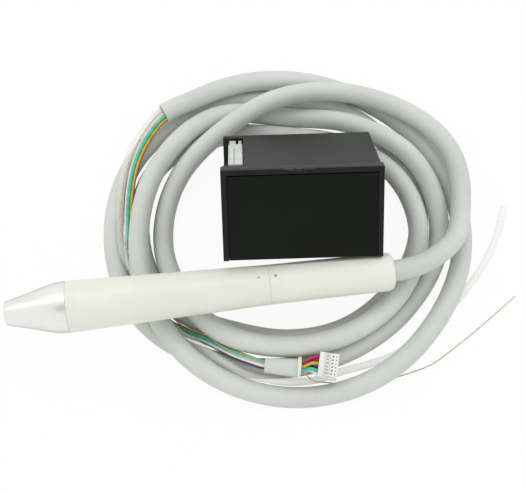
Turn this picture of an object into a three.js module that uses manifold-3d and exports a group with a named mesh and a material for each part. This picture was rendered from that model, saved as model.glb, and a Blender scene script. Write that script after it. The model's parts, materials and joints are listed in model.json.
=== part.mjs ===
// Piezo scaler set: handpiece on its tail connector, a loose coil of hose, and a control module
import * as THREE from "three";
import { mergeVertices } from "three/addons/utils/BufferGeometryUtils.js";
import Module from "manifold-3d";

const wasm = await Module();
wasm.setup();

// Shared clearances, in millimetres
const seatGap = 0.3;
const cutOverrun = 1;

// Handpiece: stations run along its axis from the mouth of the nose
const noseLength = 23.2;
const bodyLength = 74.8;
const tailLength = 46.9;
const mouthRadius = 4.4;
const mouthRounding = 0.4;
const waistRadius = 9.7;
const seamRadius = 7.5;
const tailEndRadius = 7.25;
const tailEndRounding = 2.6;
const noseFlareShares = [
  [0.08, 0.09], [0.24, 0.27], [0.4, 0.45], [0.56, 0.65], [0.72, 0.85], [0.85, 0.95], [1, 1],
];
const handpieceAngle = THREE.MathUtils.degToRad(6.65);
const handpieceNose = { x: -95, y: -36.9, z: 25.7 };
const outerSides = 40;
const roundSides = 28;
const smallSides = 16;
const pinSides = 12;
const routeSteps = 2;

// Front of the handpiece: spigot, seal, lamp and light guide
const spigotLength = 5.4;
const spigotRadius = 7.7;
const sealWidth = 1.1;
const sealWall = 0.6;
const bodyBoreRadius = 6.4;
const lampCarrierFlange = 1.4;
const lampCarrierRadius = 7.2;
const lampCarrierTipRadius = 4.4;
const lampCarrierBore = 5.1;
const lampCarrierWall = 1.2;
const lampRingThickness = 1;
const lampRingStation = 6;
const lightGuideRadius = 3.6;
const lightGuideLength = 5;
const lightGuideInset = 0.5;
const hornTipRadius = 1.9;
const noseInnerStep = 5.1;
const noseInnerStepRadius = 5;
const noseInnerRearRadius = 7.6;

// Transducer: horn, piezo discs, back mass and the bolt that draws them together
const hornStraight = 14;
const hornRootRadius = 4.2;
const hornFlareEnd = 30;
const hornFlangeRadius = 6;
const hornFlangeWidth = 2;
const hornBackRadius = 4.6;
const hornEnd = 40;
const hornFlareShares = [[0.25, 0.08], [0.5, 0.26], [0.75, 0.56], [1, 1]];
const tipThreadRadius = 1.25;
const tipThreadDepth = 6;
const flangeRingRadius = 0.7;
const discCount = 4;
const discThickness = 2.3;
const discRadius = 5.6;
const boltRadius = 1.9;
const boltHoldInHorn = 5;
const backMassLength = 11;
const boltHeadRadius = 3.6;
const boltHeadLength = 2.6;

// Plug-in joint between handpiece and tail
const plugReach = 5;
const plugRadius = 5.8;
const plugBodyLength = 10;
const contactBlockLength = 9;
const contactBlockRadius = 6.1;
const pinCount = 6;
const pinCircleRadius = 3.9;
const pinRadius = 0.45;
const pinReach = 6.2;
const waterSpigotRadius = 1.2;
const waterSpigotBore = 0.6;
const plugSealWidth = 1.4;
const plugSealSection = 0.95;
const plugSealInset = 1.6;

// Tail connector shell and the clamp on the hose inside it
const tailBoreRadius = 6.1;
const tailEndWall = 6.9;
const clampLength = 5.4;
const clampRadius = 5.8;
const hoseInsideTail = 13.6;

// Hose and its loose coil: radius and layer at every thirty degrees, turn by turn, as shares
const hoseDiameter = 8;
const hoseFlat = 0.8;
const layerRise = 8.6;
const stationsPerTurn = 12;
const stepsPerTurn = 24;
const hoseSides = 6;
const hoseEndSides = 12;
const coilCentre = { x: 10, y: 2 };
const coilReach = 72.8;
const turnRadiusShares = [
  [0.919, 1.032, 0.949, 0.818, 0.7, 0.7, 0.687, 0.673, 0.676, 0.652, 0.659, 0.687],
  [0.707, 0.687, 0.652, 0.637, 0.721, 0.856, 0.816, 0.742, 0.609, 0.578, 0.595, 0.635],
  [0.7, 0.769, 0.849, 0.872, 0.944, 0.988, 0.962, 0.9135, 0.801, 0.731, 0.716, 0.755],
  [0.831, 0.827, 0.753, 0.753, 0.824, 0.819, 0.809, 0.841, 0.887, 0.897, 0.918, 0.924],
  [0.957, 0.971, 0.975, 0.964, 0.962],
];
const turnLayerShares = [
  [1.3, 1.05, 1.02, 1.28, 1.3, 0.55, 0.25, 0.92, 1.08, 1, 1, 1.02],
  [1.03, 0.86, 0.2, 0, 0, 0, 0, 0, 0, 0, 0, 0],
  [0, 0, 0, 0, 0, 0, 0, 0, 0, 0, 0, 0],
  [0.3, 1, 1, 0.1, 0.86, 1.03, 1.03, 1.03, 0.85, 0.15, 0.35, 0.55],
  [0.2, 0, 0, 0.62, 1.02],
];

// Free stretches of the hose and the cut end with its wires, chosen by hand
const hoseLeadRoute = [[55.6, -18.7, 25.3], [60, -16.8, 24.3], [64.6, -13.6, 22.3], [68.8, -9.8, 19.7]];
const coilStartHeading = [0.39, 0.86, -0.32];
const hoseEndRoute = [[-36.8, 56.8, 12.6], [-40.8, 54.3, 12.2]];
const hoseBoreRadius = 3.6;
const hoseBoreDepth = 4;

// Signal wires: one bundle from the cut end to the white connector
const wireDiameter = 1.2;
const wireSides = 8;
const bundleRingRadius = 1.23;
const bundleRoute = [
  [-37, 54.7, 12.3], [-39.95, 52.8, 12.2], [-43.5, 49.5, 11.4], [-47, 44.5, 10.2], [-50, 38.5, 9.2],
  [-52.3, 31, 8.6], [-53.5, 22, 8.2], [-53.8, 12, 7.8], [-53.2, 2, 7.2], [-52.65, -5.7, 5.2],
  [-50.68, -14.2, 2.55], [-46.45, -21.9, 1.9], [-42.2, -28.2, 1.9], [-36.4, -33.4, 2.2], [-29.3, -37.3, 3.2],
  [-22.3, -40.8, 5.6], [-16.8, -44.4, 8], [-11.3, -48, 10.1], [-5.4, -51.1, 12], [0.2, -52.9, 12.7],
  [6.4, -53.4, 12.6], [12.7, -53.9, 12.5], [15.2, -53.7, 12.5], [18.1, -52.9, 13.1], [20.7, -53.1, 13.4],
];
const bundleTurns = [
  10, 10, 14, 28, 42, 50, 50, 46, 36, 42, 55, 70, 85, 90, 90, 90, 90, 90, 90, 90, 60, 30, 0, 0, 0, 0,
];
const fanStart = 22;
const waterTubeDiameter = 3;
const waterTubeRoute = [
  [-38.8, 57.6, 12.3], [-41.7, 55.8, 12.2], [-45.1, 52.6, 11.3], [-49.5, 47.1, 10.1], [-53.6, 39.6, 9.3],
  [-56.2, 30, 9], [-57.2, 20, 8.6], [-57.2, 10, 8.1], [-56.6, 2, 7.8], [-55.2, -6, 7.9],
  [-50.6, -14.2, 6.7], [-46, -22, 6.3], [-41.8, -27.9, 6.3], [-37, -33.6, 6.6], [-31.2, -39.2, 7.3],
  [-24.5, -43.8, 8.3], [-18.8, -47.9, 8.9], [-12.9, -51.9, 9.15], [-6.5, -55.7, 9.8], [-1.4, -56.3, 7.9],
  [3.8, -57, 6.6], [10, -57.3, 5], [20.2, -55.9, 2.6], [29, -52.6, 1.7], [39.2, -49.8, 1.7], [49, -46.6, 1.7],
  [57.2, -41.6, 1.7], [65, -35, 1.7], [73, -27.3, 1.7], [79.8, -19.5, 1.7], [85.8, -11.6, 1.7],
  [90.6, -3.6, 1.7], [94.8, 5.7, 1.7], [98.1, 16.8, 1.7],
];
const tanWireDiameter = 0.5;
const tanWireOnTube = [
  [-37.7, 56.3, 14.5], [-40.8, 54.3, 14.5], [-43.8, 51.8, 14], [-48.3, 45.9, 12.5], [-52, 38.8, 11.6],
  [-54.8, 29.5, 11], [-56.2, 20, 10.8], [-56.5, 11.4, 10.1], [-56, 2, 9.7], [-53.1, -5.8, 9],
  [-48.4, -13.7, 6.3], [-43.9, -20.9, 5.9], [-39.9, -26.8, 6.1],
];
const tanJoinsBundle = 27;
const tanGrooveAngles = [60, 60, 60, 55, 45, 30, 15, 5, 0, 0, 0, 0, 0, 0, 0, 0, 0, -12];
const tanGrooveRadii = [
  2.2, 2.2, 2.2, 2.2, 2.2, 2.2, 2.2, 2.15, 2.05, 1.95, 1.85, 1.8, 1.78, 1.78, 1.78, 1.78, 1.78, 2.2,
];
const tanWireAlone = [
  [18.6, -57.9, 9], [22.4, -57.6, 6], [27.4, -57.1, 2.4], [32.7, -57.2, 0.8], [43.5, -56.2, 0.4],
  [53.8, -53.4, 0.4], [64.4, -49.5, 0.4], [71.2, -44.9, 0.4], [84.8, -34.1, 0.4], [99.6, -21.3, 0.4],
];
const sleeveRadius = 2.75;
const sleeveFlareRadius = 3.6;
const sleeveBoreRadius = 2.1;
const sleeveLength = 13.6;
const sleeveStart = { x: 0.6, y: -52.95, z: 12.7 };
const sleeveEnd = { x: 12.7, y: -53.9, z: 12.5 };
const tieWidth = 1.3;
const tieWall = 0.6;
const tieHeadLength = 2.6;
const tieHeadHeight = 0.8;

// White multi-pin connector on the wires
const connectorWays = [4, 2, 0, 1, 3, 5];
const connectorPitch = 1.36;
const connectorLength = 7.2;
const connectorHeight = 4.6;
const connectorEndWall = 1.2;
const connectorStart = { x: 20.8, y: -53.1 };
const connectorHeightAboveFloor = 13.4;
const connectorAngle = THREE.MathUtils.degToRad(-8);
const connectorEntryDepth = 2.6;
const connectorSocketSize = 0.9;
const connectorSocketDepth = 4.4;

// Control module: it stands on its rear bottom edge and leans on the tail
const moduleWidth = 57.8;
const moduleDepth = 46.5;
const moduleHeight = 34.5;
const moduleWall = 1.5;
const bezelStep = 0.6;
const bezelDepth = 5;
const modulePivotX = 13.9;
const moduleRestShare = 0.93;
const moduleYaw = THREE.MathUtils.degToRad(1.9);
const panelThickness = 2;
const panelInset = 0.2;
const basePlateThickness = 2;
const basePlateLift = 0.2;
const headerWellWidth = 7.8;
const headerWellLength = 35;
const headerWellRear = 3.6;
const headerWellDepth = 9;
const headerLength = 31.7;
const headerWidth = 5.3;
const headerHeight = 8.6;
const headerTabLength = 6.4;
const headerTabInset = 0.3;
const headerTabDrop = 0.5;
const headerNotch = { width: 1, length: 4.6, depth: 4, share: 0.62 };
const headerGroove = { width: 0.35, depth: 0.7, start: 5, share: 0.42 };
const boardThickness = 1.6;
const boardPostHeight = 3.6;
const boardPostRadius = 2.2;
const boardMargin = 1;
const boardPostInset = 4;
const transformerSize = { x: 20, y: 17, z: 15 };
const transformerCoreWall = 4;
const capacitorRadius = 4.8;
const capacitorHeight = 13.5;
const capacitorShares = [0.25, 0.75];
const heatSinkSize = { y: 8, z: 14 };
const heatSinkFins = 5;
const heatSinkBase = 2;
const transistorSize = { y: 3.4, z: 13 };
const transistorWidthShare = 0.62;
const screwRadius = 1.5;
const screwHeadRadius = 2.6;
const screwHeadHeight = 1.2;

// Colours and finishes read from the photograph
function finish(color, roughness, metalness) {
  return new THREE.MeshStandardMaterial({ color, roughness, metalness });
}
const finishes = {
  nose: finish(0xc9ccca, 0.32, 0.9),
  ivory: finish(0xe6e7da, 0.42, 0),
  hose: finish(0xc6cac6, 0.55, 0),
  blackShell: finish(0x2b2d2c, 0.5, 0),
  panel: finish(0x161817, 0.2, 0),
  whitePlastic: finish(0xeeeee8, 0.4, 0),
  clear: finish(0xf1f2ee, 0.2, 0),
  steel: finish(0xb4b6b8, 0.3, 1),
  brass: finish(0xc9a24a, 0.35, 1),
  ceramic: finish(0x8f8a7c, 0.5, 0),
  rubber: finish(0x2a2a2a, 0.7, 0),
  board: finish(0x1f5a3a, 0.5, 0),
  copper: finish(0xb4764a, 0.4, 0.8),
  ferrite: finish(0x3a3a3c, 0.6, 0),
  tan: finish(0xc8a482, 0.5, 0),
};
const wireColours = [0x46bea8, 0xcdb42a, 0xbe1e50, 0xa31a45, 0x232d6e, 0xc9cac5];
const wireNames = ["teal", "yellow", "crimson", "red", "navy", "grey"];

// Nodes are gathered here by name
const part = new THREE.Group();
const handpiece = new THREE.Group();
const controlModule = new THREE.Group();
part.add(handpiece, controlModule);

function addNode(parent, name, geometry, material) {
  const mesh = new THREE.Mesh(geometry, material);
  mesh.name = name;
  parent.add(mesh);
  return mesh;
}

// Booleans: a merged closed mesh becomes a solid, and the result a plain geometry again
function toSolid(geometry) {
  const bare = geometry.clone();
  bare.deleteAttribute("normal");
  bare.deleteAttribute("uv");
  const merged = mergeVertices(bare, 1e-5);
  const index = merged.index.array;
  const triVerts = [];
  for (let i = 0; i < index.length; i += 3) {
    const [a, b, c] = [index[i], index[i + 1], index[i + 2]];
    if (a !== b && b !== c && c !== a) triVerts.push(a, b, c);
  }
  const vertProperties = new Float32Array(merged.attributes.position.array);
  const mesh = new wasm.Mesh({ numProp: 3, vertProperties, triVerts: new Uint32Array(triVerts) });
  return new wasm.Manifold(mesh);
}
function toGeometry(solid) {
  const mesh = solid.getMesh();
  const geometry = new THREE.BufferGeometry();
  geometry.setAttribute("position", new THREE.BufferAttribute(new Float32Array(mesh.vertProperties), 3));
  geometry.setIndex(new THREE.BufferAttribute(new Uint32Array(mesh.triVerts), 1));
  return geometry;
}
function cut(geometry, cutters) {
  let solid = toSolid(geometry);
  for (const cutter of cutters) solid = solid.subtract(toSolid(cutter));
  return toGeometry(solid);
}
function join(geometries) {
  let solid = toSolid(geometries[0]);
  for (const other of geometries.slice(1)) solid = solid.add(toSolid(other));
  return toGeometry(solid);
}

// A revolved piece: profile of [station, radius] pairs about the X axis
function revolve(profile, sides = roundSides) {
  const points = profile.map(([station, radius]) => new THREE.Vector2(radius, station));
  const geometry = new THREE.LatheGeometry(points, sides);
  geometry.rotateZ(-Math.PI / 2);
  return toGeometry(orientedSolid(geometry));
}
function orientedSolid(geometry) {
  const solid = toSolid(geometry);
  if (solid.volume() > 0) return solid;
  const flipped = geometry.clone();
  const order = Array.from(flipped.index.array);
  for (let i = 0; i < order.length; i += 3) [order[i + 1], order[i + 2]] = [order[i + 2], order[i + 1]];
  flipped.setIndex(order);
  return toSolid(flipped);
}
function ring(start, end, inner, outer, sides = roundSides) {
  return revolve([[start, inner], [start, outer], [end, outer], [end, inner], [start, inner]], sides);
}
function rod(start, end, radius, sides = roundSides) {
  return revolve([[start, 0], [start, radius], [end, radius], [end, 0]], sides);
}
function roundRing(station, centreRadius, sectionRadius) {
  const profile = [];
  const sectionSides = 8;
  for (let i = 0; i <= sectionSides; i++) {
    const angle = (i / sectionSides) * 2 * Math.PI;
    profile.push([station + sectionRadius * Math.sin(angle), centreRadius + sectionRadius * Math.cos(angle)]);
  }
  return revolve(profile);
}

// A block between two corners
function block(low, high) {
  const geometry = new THREE.BoxGeometry(high[0] - low[0], high[1] - low[1], high[2] - low[2]);
  geometry.translate((low[0] + high[0]) / 2, (low[1] + high[1]) / 2, (low[2] + high[2]) / 2);
  return geometry;
}

// Smooth route through hand-chosen points, by cubic pieces whose slope is that of the neighbours
function cubicMix(before, start, end, after, t) {
  const startSlope = (end - before) / 2;
  const endSlope = (after - start) / 2;
  const square = t * t;
  const cube = square * t;
  return (2 * cube - 3 * square + 1) * start + (cube - 2 * square + t) * startSlope
    + (3 * square - 2 * cube) * end + (cube - square) * endSlope;
}
function valueAt(values, place) {
  const last = values.length - 1;
  const i = Math.min(Math.floor(place), last - 1);
  const pick = (k) => values[Math.max(0, Math.min(last, k))];
  return cubicMix(pick(i - 1), pick(i), pick(i + 1), pick(i + 2), place - i);
}
function pointAt(route, place) {
  return new THREE.Vector3(...[0, 1, 2].map((axis) => valueAt(route.map((p) => p[axis]), place)));
}
function sampleRoute(route, perSpan) {
  const points = [];
  const steps = (route.length - 1) * perSpan;
  for (let i = 0; i <= steps; i++) points.push(pointAt(route, i / perSpan));
  return points;
}

// A tube swept along points: rings stand square to the route, with a flat side down
function sweepFrames(points) {
  const up = new THREE.Vector3(0, 0, 1);
  return points.map((point, i) => {
    const ahead = points[Math.min(i + 1, points.length - 1)];
    const behind = points[Math.max(i - 1, 0)];
    const along = ahead.clone().sub(behind).normalize();
    const side = along.clone().cross(up).normalize();
    return { point, along, side, over: side.clone().cross(along).normalize() };
  });
}
function sweep(points, radius, sides, floor = 0) {
  const frames = sweepFrames(points);
  const vertices = [];
  for (const frame of frames) {
    for (let k = 0; k < sides; k++) {
      const angle = ((k + (sides % 4 === 0 ? 0.5 : 0)) / sides) * 2 * Math.PI;
      const vertex = frame.point.clone()
        .addScaledVector(frame.side, radius * Math.cos(angle))
        .addScaledVector(frame.over, radius * Math.sin(angle));
      vertices.push(vertex.x, vertex.y, Math.max(floor, vertex.z));
    }
  }
  const faces = [];
  for (let i = 0; i + 1 < frames.length; i++) {
    for (let k = 0; k < sides; k++) {
      const a = i * sides + k;
      const b = i * sides + ((k + 1) % sides);
      faces.push(a, b, b + sides, a, b + sides, a + sides);
    }
  }
  const lastRing = (frames.length - 1) * sides;
  for (let k = 1; k + 1 < sides; k++) {
    faces.push(0, k + 1, k);
    faces.push(lastRing, lastRing + k, lastRing + k + 1);
  }
  const geometry = new THREE.BufferGeometry();
  geometry.setAttribute("position", new THREE.Float32BufferAttribute(vertices, 3));
  geometry.setIndex(faces);
  return toGeometry(orientedSolid(geometry));
}

// Handpiece stations that several pieces share
const seamStation = noseLength + bodyLength;
const tailEnd = seamStation + tailLength;
const shellFront = noseLength - spigotLength;
const plugFront = seamStation - plugReach;
const noseBoreRadius = spigotRadius + seatGap;

function makeNoseCone() {
  const outer = [[0, mouthRadius - mouthRounding], [mouthRounding, mouthRadius]];
  for (const [stationShare, radiusShare] of noseFlareShares) {
    outer.push([noseLength * stationShare, mouthRadius + (waistRadius - mouthRadius) * radiusShare]);
  }
  const counterbore = noseBoreRadius + sealWall + seatGap;
  const rearStart = shellFront - seatGap;
  const inner = [
    [noseLength, counterbore],
    [noseLength - sealWidth - seatGap, counterbore],
    [noseLength - sealWidth - seatGap, noseBoreRadius],
    [rearStart, noseBoreRadius],
    [rearStart, noseInnerRearRadius],
    [rearStart - lampCarrierFlange - seatGap, noseInnerRearRadius],
    [noseInnerStep, noseInnerStepRadius],
    [noseInnerStep, lightGuideRadius + seatGap],
    [0, lightGuideRadius + seatGap],
    outer[0],
  ];
  addNode(handpiece, "nose_cone", revolve([...outer, ...inner], outerSides), finishes.nose);
  const sealInner = spigotRadius + seatGap / 2;
  const seal = ring(noseLength - sealWidth, noseLength, sealInner, noseBoreRadius + sealWall);
  addNode(handpiece, "nose_seal", seal, finishes.rubber);
}

function makeLampAndGuide() {
  const guideEnd = lightGuideInset + lightGuideLength;
  const guideBore = hornTipRadius + seatGap;
  const lightGuide = ring(lightGuideInset, guideEnd, guideBore, lightGuideRadius);
  addNode(handpiece, "light_guide", lightGuide, finishes.clear);
  const ringEnd = lampRingStation + lampRingThickness;
  const lampRing = ring(lampRingStation, ringEnd, guideBore, lampCarrierTipRadius);
  addNode(handpiece, "lamp_ring", lampRing, finishes.board);
  const carrierEnd = shellFront - seatGap;
  const carrierStart = ringEnd + seatGap;
  const flangeStart = carrierEnd - lampCarrierFlange;
  const neckRadius = lampCarrierBore + lampCarrierWall;
  const profile = [
    [carrierStart, lampCarrierTipRadius - lampCarrierWall],
    [carrierStart, lampCarrierTipRadius],
    [flangeStart, neckRadius],
    [flangeStart, lampCarrierRadius],
    [carrierEnd, lampCarrierRadius],
    [carrierEnd, lampCarrierBore],
    [carrierStart, lampCarrierTipRadius - lampCarrierWall],
  ];
  addNode(handpiece, "lamp_carrier", revolve(profile), finishes.whitePlastic);
}

function makeHandpieceShell() {
  const start = noseLength + seatGap;
  const end = seamStation - seatGap / 2;
  const profile = [
    [shellFront, bodyBoreRadius],
    [shellFront, spigotRadius],
    [start, spigotRadius],
    [start, waistRadius],
    [end, seamRadius],
    [end, bodyBoreRadius],
    [shellFront, bodyBoreRadius],
  ];
  addNode(handpiece, "handpiece_shell", revolve(profile, outerSides), finishes.ivory);
}

function makeTransducer() {
  const tipStart = lightGuideInset + seatGap;
  const profile = [[tipStart + tipThreadDepth, 0], [tipStart + tipThreadDepth, tipThreadRadius]];
  profile.push([tipStart, tipThreadRadius], [tipStart, hornTipRadius], [hornStraight, hornTipRadius]);
  for (const [stationShare, radiusShare] of hornFlareShares) {
    profile.push([
      hornStraight + (hornFlareEnd - hornStraight) * stationShare,
      hornTipRadius + (hornRootRadius - hornTipRadius) * radiusShare,
    ]);
  }
  const flangeEnd = hornFlareEnd + hornFlangeWidth;
  profile.push(
    [hornFlareEnd, hornFlangeRadius],
    [flangeEnd, hornFlangeRadius],
    [flangeEnd, hornBackRadius],
    [hornEnd, hornBackRadius],
    [hornEnd, boltRadius + seatGap],
    [hornEnd - boltHoldInHorn, boltRadius + seatGap],
    [hornEnd - boltHoldInHorn, 0],
  );
  addNode(handpiece, "horn", revolve(profile), finishes.steel);
  const ringRadius = bodyBoreRadius - seatGap - flangeRingRadius;
  const reach = flangeRingRadius + seatGap;
  const frontRing = roundRing(hornFlareEnd - reach, ringRadius, flangeRingRadius);
  const rearRing = roundRing(flangeEnd + reach, ringRadius, flangeRingRadius);
  addNode(handpiece, "flange_ring_front", frontRing, finishes.rubber);
  addNode(handpiece, "flange_ring_rear", rearRing, finishes.rubber);
  const pitch = discThickness + seatGap;
  for (let i = 0; i < discCount; i++) {
    const start = hornEnd + seatGap + i * pitch;
    const disc = ring(start, start + discThickness, boltRadius + seatGap, discRadius);
    addNode(handpiece, `piezo_disc_${i + 1}`, disc, finishes.ceramic);
  }
  const massStart = hornEnd + seatGap + discCount * pitch;
  const massEnd = massStart + backMassLength;
  const backMass = ring(massStart, massEnd, boltRadius + seatGap, discRadius);
  addNode(handpiece, "back_mass", backMass, finishes.steel);
  const headStart = massEnd + seatGap;
  const headEnd = headStart + boltHeadLength;
  const boltStart = hornEnd - boltHoldInHorn + seatGap;
  const bolt = revolve([
    [boltStart, 0], [boltStart, boltRadius], [headStart, boltRadius],
    [headStart, boltHeadRadius], [headEnd, boltHeadRadius], [headEnd, 0],
  ]);
  addNode(handpiece, "stack_bolt", bolt, finishes.steel);
}

// Pin places on a circle, the first one straight up
function pinPlaces() {
  const places = [];
  for (let i = 0; i < pinCount; i++) {
    const angle = (i / pinCount) * 2 * Math.PI;
    places.push([pinCircleRadius * Math.sin(angle), pinCircleRadius * Math.cos(angle)]);
  }
  return places;
}
function pinRods(start, end, radius) {
  return pinPlaces().map(([y, z]) => rod(start, end, radius, pinSides).translate(0, y, z));
}

function makePlugJoint() {
  const blockEnd = plugFront - seatGap;
  const blockStart = blockEnd - contactBlockLength;
  const pinHole = pinRadius + seatGap;
  const waterHole = waterSpigotRadius + seatGap;
  const pinFront = blockEnd - pinReach;
  const contactBlock = cut(rod(blockStart, blockEnd, contactBlockRadius), [
    ...pinRods(pinFront - seatGap, blockEnd + cutOverrun, pinHole),
    rod(blockStart - cutOverrun, blockEnd + cutOverrun, waterHole, smallSides),
  ]);
  addNode(handpiece, "contact_block", contactBlock, finishes.whitePlastic);

  const plugEnd = seamStation + plugBodyLength;
  const grooveStart = plugFront + plugSealInset;
  const grooveEnd = grooveStart + plugSealWidth + 2 * seatGap;
  const grooveRadius = plugRadius - plugSealSection;
  const plugBody = revolve([
    [plugFront, 0], [plugFront, plugRadius], [grooveStart, plugRadius], [grooveStart, grooveRadius],
    [grooveEnd, grooveRadius], [grooveEnd, plugRadius], [plugEnd, plugRadius], [plugEnd, 0],
  ]);
  const plug = cut(plugBody, [
    ...pinRods(plugFront - cutOverrun, plugEnd + cutOverrun, pinHole),
    rod(plugFront - cutOverrun, plugEnd + cutOverrun, waterHole, smallSides),
  ]);
  addNode(handpiece, "tail_plug", plug, finishes.whitePlastic);
  const sealInner = grooveRadius + seatGap / 2;
  const sealOuter = bodyBoreRadius - seatGap / 2;
  const seal = ring(grooveStart + seatGap, grooveEnd - seatGap, sealInner, sealOuter);
  addNode(handpiece, "plug_seal", seal, finishes.rubber);
  const pinEnd = plugEnd + seatGap;
  pinRods(pinFront, pinEnd, pinRadius).forEach((pin, i) => {
    addNode(handpiece, `contact_pin_${i + 1}`, pin, finishes.brass);
  });
  const spigot = ring(blockStart + seatGap, pinEnd, waterSpigotBore, waterSpigotRadius, smallSides);
  addNode(handpiece, "water_spigot", spigot, finishes.steel);
}

function makeTail() {
  const start = seamStation + seatGap / 2;
  const roundStart = tailEnd - tailEndRounding;
  const hoseHole = hoseDiameter / 2 + seatGap;
  const innerEnd = tailEnd - tailEndWall;
  const profile = [[start, tailBoreRadius], [start, seamRadius], [roundStart, tailEndRadius]];
  const roundingSteps = 5;
  for (let i = 1; i <= roundingSteps; i++) {
    const angle = (i / roundingSteps) * (Math.PI / 2);
    profile.push([
      roundStart + tailEndRounding * Math.sin(angle),
      tailEndRadius - tailEndRounding * (1 - Math.cos(angle)),
    ]);
  }
  profile.push([tailEnd, hoseHole], [innerEnd, hoseHole]);
  profile.push([innerEnd, tailBoreRadius], [start, tailBoreRadius]);
  addNode(handpiece, "tail_shell", revolve(profile, outerSides), finishes.ivory);
  const clampEnd = innerEnd - seatGap;
  const clamp = ring(clampEnd - clampLength, clampEnd, hoseHole, clampRadius);
  addNode(handpiece, "hose_clamp", clamp, finishes.brass);
}

// Place along the handpiece's axis, in the part's own directions
function onHandpiece(station) {
  return [
    handpieceNose.x + station * Math.cos(handpieceAngle),
    handpieceNose.y + station * Math.sin(handpieceAngle),
    handpieceNose.z,
  ];
}

// The coil: turns worked out from the tables, radius and layer by station
const hoseRadius = hoseDiameter / 2;
const hoseRest = hoseRadius - hoseFlat;
const coilRadii = turnRadiusShares.flat().map((share) => share * coilReach);
const coilLayers = turnLayerShares.flat();
function coilPoint(place) {
  const angle = (place / stationsPerTurn) * 2 * Math.PI;
  const radius = valueAt(coilRadii, place);
  const lift = Math.max(0, valueAt(coilLayers, place)) * layerRise;
  return new THREE.Vector3(
    coilCentre.x + radius * Math.cos(angle),
    coilCentre.y + radius * Math.sin(angle),
    hoseRest + lift,
  );
}
function coilPoints() {
  const perStation = stepsPerTurn / stationsPerTurn;
  const steps = (coilRadii.length - 1) * perStation;
  const points = [];
  for (let i = 0; i <= steps; i++) points.push(coilPoint(i / perStation));
  return points;
}
function withStraightEnds(points) {
  const inward = new THREE.Vector3(...coilStartHeading).normalize();
  const outward = points.at(-1).clone().sub(points.at(-2)).normalize();
  const first = points[0].clone().addScaledVector(inward, -hoseDiameter);
  return [first, ...points, points.at(-1).clone().addScaledVector(outward, hoseDiameter)];
}
function leastGap(points, diameter, skip) {
  let least = Infinity;
  for (let i = 0; i < points.length; i++) {
    for (const other of points.slice(i + skip)) least = Math.min(least, points[i].distanceTo(other));
  }
  return least - diameter;
}

function makeHose() {
  const turns = withStraightEnds(coilPoints());
  const ownGap = leastGap(turns, hoseDiameter, stepsPerTurn / 2);
  console.log("least gap of the coil to itself, mm:", ownGap.toFixed(2));
  addNode(part, "hose_coil", sweep(turns, hoseRadius, hoseSides), finishes.hose);

  const coilStart = turns[0];
  const startAlong = turns[0].clone().sub(turns[1]).normalize();
  const leadEnd = coilStart.clone().addScaledVector(startAlong, seatGap);
  const leadEndBefore = leadEnd.clone().addScaledVector(startAlong, hoseRadius / 2);
  const lead = [
    onHandpiece(tailEnd - hoseInsideTail),
    onHandpiece(tailEnd - tailEndWall),
    onHandpiece(tailEnd + hoseRadius / 2),
    ...hoseLeadRoute,
    leadEndBefore.toArray(),
  ];
  const leadPoints = [...sampleRoute(lead, routeSteps), leadEnd];
  addNode(part, "hose_lead", sweep(leadPoints, hoseRadius, hoseEndSides), finishes.hose);

  const endAlong = turns.at(-1).clone().sub(turns.at(-2)).normalize();
  const tailPiece = turns.at(-1).clone().addScaledVector(endAlong, seatGap);
  const tailPieceAfter = tailPiece.clone().addScaledVector(endAlong, hoseRadius / 2);
  const cutEnd = [tailPiece, ...sampleRoute([tailPieceAfter.toArray(), ...hoseEndRoute], routeSteps)];
  const outward = cutEnd.at(-1).clone().sub(cutEnd.at(-2)).normalize();
  const boreStart = cutEnd.at(-1).clone().addScaledVector(outward, -hoseBoreDepth);
  const boreEnd = cutEnd.at(-1).clone().addScaledVector(outward, cutOverrun);
  const bore = sweep([boreStart, boreEnd], hoseBoreRadius, hoseEndSides);
  const endPiece = cut(sweep(cutEnd, hoseRadius, hoseEndSides), [bore]);
  addNode(part, "hose_end", endPiece, finishes.hose);
}

// The bundle's route with the straight entry into the connector, and the ring's turn along it
const connectorHeading = new THREE.Vector3(Math.cos(connectorAngle), Math.sin(connectorAngle), 0);
const bundleEnd = new THREE.Vector3(...bundleRoute.at(-1))
  .addScaledVector(connectorHeading, connectorEntryDepth - seatGap);
const bundleFrames = sweepFrames(sampleRoute([...bundleRoute, bundleEnd.toArray()], routeSteps));
function besideBundle(i, sideways, upwards) {
  const frame = bundleFrames[i];
  return frame.point.clone().addScaledVector(frame.side, sideways).addScaledVector(frame.over, upwards);
}
function ringAngle(i, degrees) {
  return THREE.MathUtils.degToRad(degrees + valueAt(bundleTurns, i / routeSteps));
}

// Each wire keeps its place on the bundle's ring, then spreads to its own way of the connector
function wirePoints(index) {
  const row = (connectorWays[index] - (wireNames.length - 1) / 2) * connectorPitch;
  return bundleFrames.map((frame, i) => {
    const angle = ringAngle(i, ((index + 0.5) / wireNames.length) * 360);
    const spread = THREE.MathUtils.smoothstep(i / routeSteps, fanStart, bundleRoute.length - 1);
    const sideways = THREE.MathUtils.lerp(bundleRingRadius * Math.cos(angle), row, spread);
    return besideBundle(i, sideways, bundleRingRadius * Math.sin(angle) * (1 - spread ** 3));
  });
}

// The tan wire lies on the water tube, then in a groove of the bundle, and leaves it behind the sleeve
function tanWirePoints() {
  const grooved = tanGrooveRadii.map((radius, k) => {
    const i = tanJoinsBundle + k;
    const angle = ringAngle(i, tanGrooveAngles[k]);
    return besideBundle(i, radius * Math.cos(angle), radius * Math.sin(angle));
  });
  const before = sampleRoute([...tanWireOnTube, grooved[0].toArray()], routeSteps);
  const after = sampleRoute([grooved.at(-1).toArray(), ...tanWireAlone], routeSteps);
  return [...before, ...grooved.slice(1), ...after.slice(1)];
}

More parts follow.
